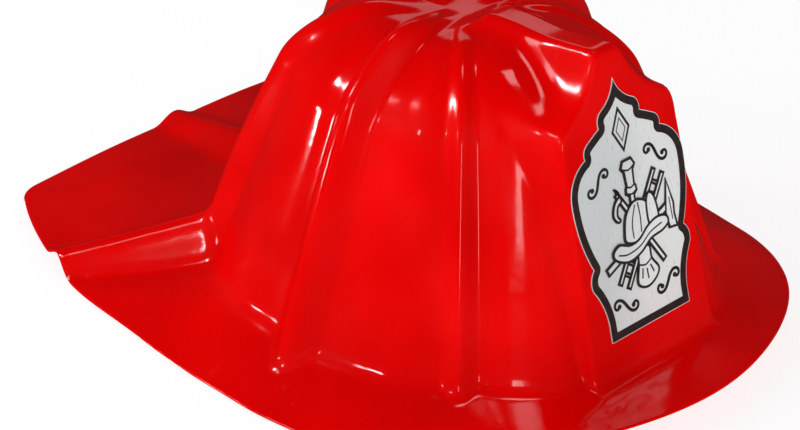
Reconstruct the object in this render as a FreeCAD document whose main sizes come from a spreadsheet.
import FreeCAD, Part
import os
from math import atan2, cos, degrees, hypot, pi, radians, sin, tan

# Dress-up fire helmet: a thin formed plastic shell with ribs, a raised front panel that carries a
# foil badge, and a size-adjustable inner headband. Millimetres, +Z up. The origin is on the dome's
# axis in the plane that the brim rests on; -Y is the front and -X is the wearer's right.

Vec = FreeCAD.Vector
doc = FreeCAD.newDocument("FireHelmet")
sheet = doc.addObject("Spreadsheet::Sheet", "Dimensions")

# Plan radii and edge heights around the shell, by azimuth in degrees from the front.
WALL_RADIUS = {0: 106.0, 10: 108.5, 24: 120.5, 34: 116.5, 44: 110.5, 58: 109.5, 68: 106.5,
               80: 105.0, 96: 105.0, 106: 107.0, 120: 110.0, 140: 113.0, 160: 113.0, 180: 112.0}
BRIM_RADIUS = {0: 151.5, 20: 149.5, 40: 148.0, 60: 143.5, 80: 136.5, 92: 136.0, 105: 140.0,
               120: 152.0, 135: 175.0, 150: 212.0, 165: 208.0, 180: 199.0}
BRIM_DROP = {0: 3.0, 25: 5.0, 50: 12.0, 72: 17.5, 108: 17.5, 130: 16.0, 150: 14.0, 180: 8.5}

SIZES = {
    # shell
    "sheet_thickness": 1.3,
    "foot_level": 19.5,          # where the dome meets the brim, above the rest plane
    "eye_level": 32.0,           # centre that the wall is measured from, above the foot
    "crown_level": 124.0,        # top of the sheet between the ribs, above the foot
    "crown_disc_radius": 3.0,
    "wall_taper": 0.385,         # inward lean of the wall per unit of height
    "shoulder_blend": 47.0,
    "foot_fillet": 5.5,
    "blank_margin": 9.0,         # the blank is formed this much larger, then trimmed
    # ribs
    "rib_b_azimuth": 46.0, "rib_b_height": 5.8, "rib_b_width": 9.5, "rib_b_shoulder": 0.2,
    "rib_a_azimuth": 88.0, "rib_a_height": 10.0, "rib_a_width": 15.0, "rib_a_shoulder": 0.85,
    "rib_d_azimuth": 139.0, "rib_d_height": 8.5, "rib_d_width": 17.0, "rib_d_shoulder": 0.15,
    "rib_f_azimuth": 180.0, "rib_f_height": 9.0, "rib_f_width": 16.0, "rib_f_shoulder": 1.4,
    "tail_rib_side_height": 17.0, "tail_rib_side_width": 21.0,
    "tail_rib_mid_height": 13.0, "tail_rib_mid_width": 24.0,
    "tail_rib_edge_width": 13.0,
    # raised front panel
    "panel_reach": 117.8, "panel_tilt": 14.45, "panel_half": 36.5, "panel_side_draft": 0.035,
    "comb_level": 135.0, "comb_half": 6.5, "comb_fall": 0.13, "comb_slope": 1.8, "comb_start": 57.0,
    "ledge_level": 128.6, "ledge_slope": 0.67,
    # brim outline behind the sides
    "tail_side_x": 121.0, "tail_side_y": 141.0, "tail_corner_x": 93.0, "tail_corner_y": 203.0,
    "tail_mid_y": 198.0, "tail_corner_radius": 13.0,
    # badge
    "badge_base": 14.9,          # bottom edge of the badge, along the panel from the foot
    "foil_thickness": 0.3, "ink_thickness": 0.12, "foil_lip": 0.3, "border_width": 3.5,
    "badge_gap": 0.05,
    # headband
    "band_level": 9.0, "band_height": 24.0, "band_thickness": 1.6,
    "band_half_width": 76.0, "band_front_y": -28.0, "band_end_y": 3.0,
    "strap_gap": 0.35, "strap_centre_y": 4.0, "strap_tip_y": -34.0, "strap_travel": 18.0,
    "stud_radius": 2.3, "stud_head_radius": 4.5, "stud_head_height": 1.4, "stud_y": -8.0,
    "slot_clearance": 0.35,
    "brow_pad_thickness": 4.0, "brow_pad_span": 62.0, "brow_pad_overhang": 1.0, "pad_gap": 0.3,
    "hanger_width": 16.0, "hanger_thickness": 1.6, "hanger_lip": 6.0, "hanger_plate": 18.0,
    "hanger_slack": 0.25, "tape_thickness": 3.0, "tape_gap": 0.75,
}
for azimuth, radius in WALL_RADIUS.items():
    SIZES[f"wall_radius_at_{azimuth}"] = radius
for azimuth, radius in BRIM_RADIUS.items():
    SIZES[f"brim_radius_at_{azimuth}"] = radius
for azimuth, drop in BRIM_DROP.items():
    SIZES[f"brim_drop_at_{azimuth}"] = drop
for row, (alias, value) in enumerate(SIZES.items(), start=1):
    sheet.set(f"A{row}", alias)
    sheet.set(f"B{row}", str(value))
    sheet.setAlias(f"B{row}", alias)
doc.recompute()


def size(alias):
    return float(getattr(sheet, alias))


def bind(item, **links):
    for prop, expression in links.items():
        item.setExpression(prop.replace("__", "."), expression)


def cell(text):
    """Turn each {alias} in an expression into a reference to its sheet cell."""
    return text.replace("{", "Dimensions.").replace("}", "")


# ---------------------------------------------------------------- surface of the formed sheet
def knots(prefix, table):
    return [(azimuth, size(f"{prefix}_at_{azimuth}")) for azimuth in table]


WALL = knots("wall_radius", WALL_RADIUS)
EDGE = knots("brim_radius", BRIM_RADIUS)
DROP = knots("brim_drop", BRIM_DROP)
EYE = size("eye_level")
RIBS = [[size(f"rib_{rib}_{what}") for what in ("azimuth", "height", "width", "shoulder")]
        for rib in "badf"]
TAIL_RIBS = [(size("rib_d_azimuth"), size("tail_rib_side_height"), size("tail_rib_side_width")),
             (size("rib_f_azimuth"), size("tail_rib_mid_height"), size("tail_rib_mid_width"))]
RIB_REFERENCE = 115.0      # plan radius at which a rib has its full width
RIB_FADE = 45.0            # distance over which the ribs die out at the crown
BLOCK_BLEND = 10.0         # softness of the inner corner between the front panel and the dome
COMB_BLEND = 12.0          # added to it towards the crown, beside the comb


def through(points, x):
    """Monotone cubic through (x, value) knots, level at both ends."""
    last = len(points) - 1
    i = 0
    while i < last - 1 and x > points[i + 1][0]:
        i += 1

    def slope(j):
        if j in (0, last):
            return 0.0
        before = (points[j][1] - points[j - 1][1]) / (points[j][0] - points[j - 1][0])
        after = (points[j + 1][1] - points[j][1]) / (points[j + 1][0] - points[j][0])
        return 0.0 if before * after <= 0 else 2 * before * after / (before + after)

    step = points[i + 1][0] - points[i][0]
    t = (x - points[i][0]) / step
    return ((2 * t**3 - 3 * t**2 + 1) * points[i][1] + (t**3 - 2 * t**2 + t) * step * slope(i)
            + (3 * t**2 - 2 * t**3) * points[i + 1][1] + (t**3 - t**2) * step * slope(i + 1))


def soft_min(a, b, blend):
    w = min(max(0.5 + 0.5 * (b - a) / blend, 0.0), 1.0)
    return b * (1 - w) + a * w - blend * w * (1 - w)


def soft_max(a, b, blend):
    return -soft_min(-a, -b, blend)


def bump(u):
    """1 at u = 0, falling smoothly to 0 at |u| = 1."""
    return 0.5 + 0.5 * cos(pi * min(abs(u), 1.0))


def dome_reach(azimuth, rise):
    """Distance from the eye point to the ribbed dome, along an azimuth and elevation (radians)."""
    taper = size("wall_taper")
    cone = (through(WALL, degrees(azimuth)) - EYE * taper) / (cos(rise) + sin(rise) * taper)
    cap = (size("crown_level") - EYE) / max(sin(rise), 1e-6)
    reach = soft_min(cone, cap, size("shoulder_blend"))
    radius = reach * cos(rise)
    fade = bump(max(1 - max(radius - size("crown_disc_radius"), 0.0) / RIB_FADE, 0.0))
    lift = 0.0
    for rib_azimuth, height, width, shoulder in RIBS:
        offset = (azimuth - radians(rib_azimuth)) * radius
        local_width = width * (0.5 + 0.5 * radius / RIB_REFERENCE)
        local_height = height * (shoulder + (1 - shoulder) * cos(rise) ** 2) * fade
        lift = max(lift, local_height * bump(offset / local_width))
    return reach + lift


def panel_reach(azimuth, rise):
    """The same distance to the raised front block: face, sides, ledges, comb and its back slope."""
    side_way, front_way, up_way = sin(azimuth) * cos(rise), cos(azimuth) * cos(rise), sin(rise)

    def plane(side, front, up, offset):
        along = side * side_way + front * front_way + up * up_way
        return (offset - up * EYE) / along if along > 1e-4 else 1e3

    tilt = radians(size("panel_tilt"))
    draft = size("panel_side_draft")
    fall = size("comb_fall")
    top = size("comb_level")
    top_front = size("panel_reach") - tan(tilt) * top
    face = plane(0, cos(tilt), sin(tilt), size("panel_reach") * cos(tilt))
    side = plane(1, 0, draft, size("panel_half") + draft * 60)
    rise_back = fall * top_front
    flank = plane(size("comb_slope"), -fall, 1,
                  top + size("comb_slope") * size("comb_half") - rise_back)
    ledge = plane(size("ledge_slope"), -fall, 1, size("ledge_level") - rise_back)
    comb = plane(0, -fall, 1, top - rise_back)
    back = plane(0, -1, 0.6, size("comb_start"))
    block = soft_min(side, soft_max(flank, ledge, 8), 10)
    block = soft_min(soft_min(block, comb, 4), back, 6)
    return soft_min(block, face, 5)


def wall_point(azimuth, rise):
    """Plan radius and height above the foot of the wall's outer face."""
    blend = BLOCK_BLEND + COMB_BLEND * max(sin(rise), 0.0) ** 2
    reach = soft_max(dome_reach(azimuth, rise), panel_reach(azimuth, rise), blend)
    return reach * cos(rise), EYE + reach * sin(rise)


def brim_height(azimuth, radius):
    """Height above the foot of the brim's top face."""
    angle = degrees(azimuth)
    foot = through(WALL, angle)
    out = max((radius - foot) / (through(EDGE, angle) - foot), -0.3)
    lift = 0.0
    for rib_azimuth, height, width in TAIL_RIBS:
        offset = (azimuth - radians(rib_azimuth)) * radius
        local_width = max(width + (size("tail_rib_edge_width") - width) * out, 5.0)
        lift = max(lift, height * min(max(1 - 0.62 * out, 0.0), 1.0) * bump(offset / local_width))
    return lift - through(DROP, angle) * (1.15 * out - 0.15 * out * out)


WALL_ROWS, FILLET_ROWS, BRIM_ROWS = 34, 4, 13


def section(azimuth):
    """Radius and height points from the crown disc down the wall and out to the blank's edge."""
    low, high = radians(-35), radians(20)
    for _ in range(30):
        middle = (low + high) / 2
        radius, height = wall_point(azimuth, middle)
        if height > brim_height(azimuth, radius):
            high = middle
        else:
            low = middle
    foot = wall_point(azimuth, low)
    fillet = size("foot_fillet")
    bottom = low
    while hypot(wall_point(azimuth, bottom)[0] - foot[0],
                wall_point(azimuth, bottom)[1] - foot[1]) < fillet:
        bottom += radians(0.25)
    top = atan2(size("crown_level") - EYE, size("crown_disc_radius"))
    points = [wall_point(azimuth, top + (bottom - top) * i / WALL_ROWS)
              for i in range(WALL_ROWS + 1)]
    start = points[-1]
    end = (foot[0] + fillet, brim_height(azimuth, foot[0] + fillet))
    for i in range(1, FILLET_ROWS + 1):
        t = i / (FILLET_ROWS + 1)
        points.append(tuple((1 - t) ** 2 * a + 2 * t * (1 - t) * b + t * t * c
                            for a, b, c in zip(start, foot, end)))
    edge = through(EDGE, degrees(azimuth)) + size("blank_margin")
    for i in range(BRIM_ROWS + 1):
        radius = end[0] + (edge - end[0]) * i / BRIM_ROWS
        points.append((radius, brim_height(azimuth, radius)))
    return points


def azimuths():
    """Section angles around the whole turn, closer together across the ribs and panel edges."""
    spans = [(0, 32, 26), (32, 56, 16), (56, 76, 8), (76, 100, 16), (100, 122, 9),
             (122, 156, 22), (156, 180, 14)]
    half = [radians(start + (end - start) * i / count) for start, end, count in spans
            for i in range(count)]
    return half + [pi] + [2 * pi - azimuth for azimuth in reversed(half[1:])]


def outer_grid():
    grid = []
    for azimuth in azimuths():
        side = sin(azimuth)
        points = section(min(azimuth, 2 * pi - azimuth))
        grid.append([Vec(-radius * side, -radius * cos(azimuth), height + size("foot_level"))
                     for radius, height in points])
    return grid


def inner_grid(grid):
    """The grid moved inwards along its own normals by the sheet's thickness."""
    rows = len(grid[0])
    moved = []
    for i, line in enumerate(grid):
        before, after = grid[i - 1], grid[(i + 1) % len(grid)]
        inside = [line[0] - Vec(0, 0, size("sheet_thickness"))]
        for j in range(1, rows):
            down = line[min(j + 1, rows - 1)] - line[j - 1]
            inward = down.cross(after[j] - before[j]).normalize()
            inside.append(line[j] + inward * size("sheet_thickness"))
        moved.append(inside)
    return moved


def spline_skin(grid):
    """A smooth closed skin that the grid controls, with its crown edge and its rim edge."""
    turns, rows = len(grid), len(grid[0])
    surface = Part.BSplineSurface()
    surface.buildFromPolesMultsKnots(grid, [1] * (turns + 1), [4] + [1] * (rows - 4) + [4],
                                     list(range(turns + 1)), list(range(rows - 2)),
                                     True, False, 3, 3)
    return surface.toShape(), surface.vIso(0).toShape(), surface.vIso(rows - 3).toShape()


def formed_sheet():
    outer = outer_grid()
    skins = [spline_skin(outer), spline_skin(inner_grid(outer))]
    faces = [face for face, crown, rim in skins]
    faces += [Part.Face(Part.Wire([crown])) for face, crown, rim in skins]
    faces.append(Part.makeRuledSurface(skins[0][2], skins[1][2]))
    skin = Part.Compound(faces)
    skin.sewShape()
    solid = Part.Solid(skin.Shells[0])
    if solid.Volume < 0:
        solid.reverse()
    return solid


def trim_face():
    """Plan outline of the finished brim: a smooth front and sides, then the straight-edged tail."""
    def at(angle):
        radius = through(EDGE, angle)
        return Vec(radius * sin(radians(angle)), -radius * cos(radians(angle)), 0)
    bend = Vec(size("tail_side_x"), size("tail_side_y"), 0)
    corner = Vec(size("tail_corner_x"), size("tail_corner_y"), 0)
    middle = Vec(0, size("tail_mid_y"), 0)
    front = [at(angle) for angle in (0, 15, 30, 45, 60, 75, 90, 105, 118)]
    side = Part.BSplineCurve()
    side.interpolate(Points=front + [bend], InitialTangent=Vec(1, 0, 0),
                     FinalTangent=(corner - bend).normalize())
    cut = size("tail_corner_radius")
    to_bend = (bend - corner).normalize()
    to_middle = (middle - corner).normalize()
    half = to_bend.getAngle(to_middle) / 2
    back_off = cut / tan(half)
    centre = corner + (to_bend + to_middle).normalize() * (cut / sin(half))
    arc_start = corner + to_bend * back_off
    arc_end = corner + to_middle * back_off
    arc_middle = centre + (corner - centre).normalize() * cut
    half_edges = [side.toShape(), Part.makeLine(bend, arc_start),
                  Part.Arc(arc_start, arc_middle, arc_end).toShape(),
                  Part.makeLine(arc_end, middle)]
    other_edges = [edge.mirror(Vec(0, 0, 0), Vec(1, 0, 0)) for edge in half_edges]
    wire = Part.Wire(Part.sortEdges(half_edges + other_edges)[0])
    return Part.Face(wire)


def add_shell():
    blank = doc.addObject("Part::Feature", "formed_sheet")
    blank.Shape = formed_sheet()
    outline = doc.addObject("Part::Feature", "trim_outline")
    outline.Shape = trim_face()
    prism = doc.addObject("Part::Extrusion", "trim_prism")
    prism.Base = outline
    prism.DirMode = "Custom"
    prism.Dir = Vec(0, 0, 1)
    prism.Solid = True
    bind(prism, LengthFwd=cell("{foot_level} + {comb_level} + 20"))
    prism.LengthRev = 20
    shell = doc.addObject("Part::Common", "shell_trimmed")
    shell.Base = blank
    shell.Tool = prism
    shell.Label = "helmet_shell"
    return shell


# ---------------------------------------------------------------- badge on the front panel
BADGE_TIP = (0.0, 111.4)
# Three-point arcs down one side of the badge: (point on the arc, end point), half width and height.
BADGE_ARCS = [((4.0, 103.9), (9.2, 100.0)), ((12.2, 97.3), (12.7, 92.8)),
              ((16.8, 90.8), (21.2, 88.4)), ((23.2, 85.8), (23.3, 82.6)),
              ((31.6, 76.3), (34.8, 66.0)), ((33.5, 51.0), (28.4, 35.0)),
              ((30.8, 31.3), (30.6, 25.8)), ((26.6, 17.8), (24.7, 9.0))]
BADGE_FOOT = (24.7, 0.0)


def badge_outline():
    """The badge's edge as one wire in its own plane, X across and Y up."""
    edges = []
    for side in (1, -1):
        start = Vec(side * BADGE_TIP[0], BADGE_TIP[1], 0)
        for middle, end in BADGE_ARCS:
            finish = Vec(side * end[0], end[1], 0)
            edges.append(Part.Arc(start, Vec(side * middle[0], middle[1], 0), finish).toShape())
            start = finish
        foot = Vec(side * BADGE_FOOT[0], BADGE_FOOT[1], 0)
        edges.append(Part.makeLine(start, foot))
    edges.append(Part.makeLine(Vec(BADGE_FOOT[0], 0, 0), Vec(-BADGE_FOOT[0], 0, 0)))
    return Part.Wire(Part.sortEdges(edges)[0])


def panel_placement(stand_off):
    """Badge plane: X to the wearer's left, Y up the panel and Z out of its face."""
    tilt = radians(size("panel_tilt"))
    foot = Vec(0, -size("panel_reach"), size("foot_level"))
    up = Vec(0, sin(tilt), cos(tilt))
    out = Vec(0, -cos(tilt), sin(tilt))
    base = foot + up * size("badge_base") + out * stand_off
    turn = FreeCAD.Rotation(Vec(1, 0, 0), up, out, "ZXY")
    return FreeCAD.Placement(base, turn)


def add_layer(name, face, thickness, stand_off):
    profile = doc.addObject("Part::Feature", name + "_face")
    profile.Shape = face
    layer = doc.addObject("Part::Extrusion", name + "_layer")
    layer.Base = profile
    layer.DirMode = "Custom"
    layer.Dir = Vec(0, 0, 1)
    layer.Solid = True
    bind(layer, LengthFwd=cell(thickness))
    layer.Label = name
    layer.Placement = panel_placement(stand_off)
    return layer


def add_badge():
    outline = Part.Face(badge_outline())
    lip = outline.makeOffset2D(-size("foil_lip"))
    window = outline.makeOffset2D(-size("foil_lip") - size("border_width"))
    gap = size("badge_gap")
    foil = add_layer("badge_foil", outline, "{foil_thickness}", gap)
    border = add_layer("badge_border", lip.cut(window), "{ink_thickness}",
                       gap + size("foil_thickness"))
    return [foil, border]


# ---------------------------------------------------------------- headband
def origin_plane(body, role):
    return next(item for item in body.Origin.OriginFeatures if item.Role == role)


def add_sketch(body, name, role):
    sketch = body.newObject("Sketcher::SketchObject", name)
    sketch.AttachmentSupport = [(origin_plane(body, role), "")]
    sketch.MapMode = "FlatFace"
    return sketch


def add_body(name):
    body = doc.addObject("PartDesign::Body", "body_" + name)
    body.Label = name
    return body


def bow_sketch(body, name, centre_y, radius, end_y, forward):
    """Sketch of a strap seen from above: a half circle with straight ends, and its thickness."""
    sketch = add_sketch(body, name, "XY_Plane")
    thickness = size("band_thickness")
    start, stop = (pi, 2 * pi) if forward else (0, pi)
    centre = Vec(0, centre_y, 0)
    for extra in (0, thickness):
        circle = Part.Circle(centre, Vec(0, 0, 1), radius + extra)
        sketch.addGeometry(Part.ArcOfCircle(circle, start, stop))
    for side in (1, -1):
        near, far = side * radius, side * (radius + thickness)
        sketch.addGeometry(Part.LineSegment(Vec(near, centre_y, 0), Vec(near, end_y, 0)))
        sketch.addGeometry(Part.LineSegment(Vec(near, end_y, 0), Vec(far, end_y, 0)))
        sketch.addGeometry(Part.LineSegment(Vec(far, end_y, 0), Vec(far, centre_y, 0)))
    return sketch


def add_band(name, centre_y, radius, end_y, forward):
    body = add_body(name)
    sketch = bow_sketch(body, name + "_plan", centre_y, radius, end_y, forward)
    pad = body.newObject("PartDesign::Pad", name + "_pad")
    pad.Profile = sketch
    bind(pad, Length=cell("{band_height}"))
    bind(body, Placement__Base__z=cell("{band_level}"))
    doc.recompute()
    return body


def inner_radius():
    return size("band_half_width")


def strap_radius():
    return size("band_half_width") + size("band_thickness") + size("strap_gap")


def add_front_band():
    return add_band("front_band", size("band_front_y"), inner_radius(), size("band_end_y"), True)


def add_rear_strap():
    body = add_band("rear_strap", size("strap_centre_y"), strap_radius(), size("strap_tip_y"), False)
    slot_half = size("stud_radius") + size("slot_clearance")
    sketch = add_sketch(body, "strap_slot", "YZ_Plane")
    level = size("band_height") / 2
    rear = size("stud_y")
    front = rear - size("strap_travel")
    sketch.addGeometry(Part.ArcOfCircle(
        Part.Circle(Vec(rear, level, 0), Vec(0, 0, 1), slot_half), -pi / 2, pi / 2))
    sketch.addGeometry(Part.ArcOfCircle(
        Part.Circle(Vec(front, level, 0), Vec(0, 0, 1), slot_half), pi / 2, 3 * pi / 2))
    for side in (1, -1):
        height = level + side * slot_half
        sketch.addGeometry(Part.LineSegment(Vec(front, height, 0), Vec(rear, height, 0)))
    slot = body.newObject("PartDesign::Pocket", "strap_slot_cut")
    slot.Profile = sketch
    slot.Type = "ThroughAll"
    slot.Midplane = True
    doc.recompute()
    return body


def closed_outline(sketch, points):
    for start, end in zip(points, points[1:] + points[:1]):
        sketch.addGeometry(Part.LineSegment(Vec(*start, 0), Vec(*end, 0)))


def add_stud(name, side):
    """A press stud: shank through the strap's slot, with a head outside it, fixed in the band."""
    body = add_body(name)
    sketch = add_sketch(body, name + "_half_profile", "XZ_Plane")
    shank, head = size("stud_radius"), size("stud_head_radius")
    under = 2 * size("strap_gap") + size("band_thickness")
    top = under + size("stud_head_height")
    chamfer = size("stud_head_height") / 3
    closed_outline(sketch, [(0, 0), (shank, 0), (shank, under), (head, under),
                            (head, top - chamfer), (head - chamfer, top), (0, top)])
    turned = body.newObject("PartDesign::Revolution", name + "_turned")
    turned.Profile = sketch
    turned.ReferenceAxis = (sketch, ["V_Axis"])
    turned.Angle = 360
    outside = side * (inner_radius() + size("band_thickness"))
    body.Placement = FreeCAD.Placement(
        Vec(outside, size("stud_y"), size("band_level") + size("band_height") / 2),
        FreeCAD.Rotation(Vec(0, 1, 0), side * 90))
    doc.recompute()
    return body


def add_brow_pad():
    """Foam strip along the inside of the front band, seen from above as part of a ring."""
    body = add_body("brow_pad")
    sketch = add_sketch(body, "brow_pad_plan", "XY_Plane")
    outer = inner_radius() - size("pad_gap")
    inner = outer - size("brow_pad_thickness")
    centre = Vec(0, size("band_front_y"), 0)
    half = radians(size("brow_pad_span"))
    start, stop = 1.5 * pi - half, 1.5 * pi + half
    for radius in (inner, outer):
        sketch.addGeometry(Part.ArcOfCircle(Part.Circle(centre, Vec(0, 0, 1), radius), start, stop))
    for angle in (start, stop):
        way = Vec(cos(angle), sin(angle), 0)
        sketch.addGeometry(Part.LineSegment(centre + way * inner, centre + way * outer))
    pad = body.newObject("PartDesign::Pad", "brow_pad_pad")
    pad.Profile = sketch
    bind(pad, Length=cell("{band_height} - {hanger_lip}"))
    bind(body, Placement__Base__z=cell("{band_level} - {brow_pad_overhang}"))
    doc.recompute()
    return body


# ---------------------------------------------------------------- hangers inside the dome
HANGERS = {"front": 43.0, "side": 76.0}      # angle round the band from the front, in degrees


def inside_wall(point):
    """Inner radius of the shell, from the dome's axis, at a point's azimuth and height."""
    azimuth = abs(atan2(point.x, -point.y))
    low, high = radians(-20), radians(80)
    for _ in range(30):
        middle = (low + high) / 2
        if wall_point(azimuth, middle)[1] > point.z - size("foot_level"):
            high = middle
        else:
            low = middle
    return wall_point(azimuth, low)[0] - size("sheet_thickness") / cos(atan2(size("wall_taper"), 1))


def hanger_frame(place, side):
    """Point on the band's outer face, and the direction straight out of it."""
    level = size("band_level") + size("band_height")
    reach = inner_radius() + size("band_thickness")
    angle = radians(HANGERS[place])
    out = Vec(side * sin(angle), -cos(angle), 0)
    return Vec(0, size("band_front_y"), level) + out * reach, out


def wall_gap(point, out, height):
    """Distance from the band to the shell's inner face, at a height above the band's edge."""
    near, far = 0.0, 60.0
    for _ in range(30):
        middle = (near + far) / 2
        probe = point + out * middle + Vec(0, 0, height)
        if hypot(probe.x, probe.y) < inside_wall(probe):
            near = middle
        else:
            far = middle
    return near


def wall_normal(point, out, gap, height):
    """Outward normal of the shell's inner face where the hanger meets it."""
    across = out.cross(Vec(0, 0, 1))
    step = size("hanger_width") / 4
    on_wall = [point + out * wall_gap(point + across * s, out, height + z) + across * s + Vec(0, 0, z)
               for s, z in ((-step, 0), (step, 0), (0, -step), (0, step))]
    normal = (on_wall[1] - on_wall[0]).cross(on_wall[3] - on_wall[2]).normalize()
    return normal if normal.dot(out) > 0 else normal * -1


def add_hanger(place, side):
    """A clip over the band's edge, an arm out to the wall and a plate taped to it."""
    name = f"hanger_{place}_{'left' if side > 0 else 'right'}"
    thick, width, plate = (size("hanger_" + what) for what in ("thickness", "width", "plate"))
    edge, out = hanger_frame(place, side)
    slack = size("hanger_slack")
    rise = plate / 2 + slack + thick
    gap = wall_gap(edge, out, rise)
    normal = wall_normal(edge, out, gap, rise)
    across = Vec(0, 0, 1).cross(normal).normalize()
    up = normal.cross(across)
    wall = edge + out * gap + Vec(0, 0, rise)
    tape = size("tape_thickness")
    plate_face = wall - normal * (tape + size("tape_gap"))
    pad = doc.addObject("Part::Box", name + "_tape_box")
    bind(pad, Length=cell("{tape_thickness}"), Width=cell("{hanger_width} - 2"),
         Height=cell("{hanger_plate} - 3"))
    pad.Label = name.replace("hanger", "tape_pad")
    turn = FreeCAD.Rotation(normal, across, up, "XZY")
    pad.Placement = FreeCAD.Placement(
        plate_face - across * (width / 2 - 1) - up * (plate / 2 - 1.5), turn)
    board = Part.makeBox(thick, width, plate, Vec(-thick, -width / 2, -plate / 2))
    board.Placement = FreeCAD.Placement(plate_face, turn)
    foot = plate_face - normal * (thick / 2) - up * (plate / 2)
    clip_turn = FreeCAD.Rotation(out, Vec(0, 0, 1).cross(out), Vec(0, 0, 1), "XZY")
    bow = width ** 2 / (8 * inner_radius())         # how far the curved band bends away from the clip
    room = size("band_thickness") + bow + 2 * slack
    lip = size("hanger_lip")
    clip = Part.makeBox(room + 2 * thick, width, lip + slack + thick,
                        Vec(slack - room - thick, -width / 2, -lip))
    slot = Part.makeBox(room, width, lip + slack, Vec(slack - room, -width / 2, -lip))
    clip = clip.cut(slot)
    clip.Placement = FreeCAD.Placement(edge, clip_turn)
    start = edge + out * slack + Vec(0, 0, slack + thick / 2)
    reach = foot - start
    along = reach.normalize()
    length = (foot - start).Length
    arm = Part.makeBox(length + thick / 2, width, thick, Vec(0, -width / 2, -thick / 2))
    side_way = Vec(0, 0, 1).cross(along).normalize()
    arm.Placement = FreeCAD.Placement(start, FreeCAD.Rotation(along, side_way, along.cross(side_way),
                                                             "XZY"))
    hanger = doc.addObject("Part::Feature", name + "_moulding")
    hanger.Shape = clip.fuse([arm, board])
    hanger.Label = name
    return [hanger, pad]


# ---------------------------------------------------------------- assemble, check and write
parts = [add_shell()]
parts += add_badge()
parts += [add_front_band(), add_rear_strap(), add_brow_pad()]
for side_name, side in (("left", 1), ("right", -1)):
    parts.append(add_stud("stud_" + side_name, side))
    for place in HANGERS:
        parts += add_hanger(place, side)
doc.recompute()

for item in doc.Objects:
    if "Invalid" in item.State or "Error" in item.State:
        raise RuntimeError(f"{item.Name}: {item.State}")
for part in parts:
    if part.Shape.isNull() or not part.Shape.isValid():
        raise RuntimeError(f"{part.Label} has no valid shape")
os.makedirs("parts", exist_ok=True)
for part in parts:
    part.Shape.exportStep(f"parts/{part.Label}.step")
    box = part.Shape.optimalBoundingBox()
    print(part.Label, len(part.Shape.Solids), round(part.Shape.Volume, 1),
          [round(v, 1) for v in (box.XMin, box.XMax, box.YMin, box.YMax, box.ZMin, box.ZMax)])
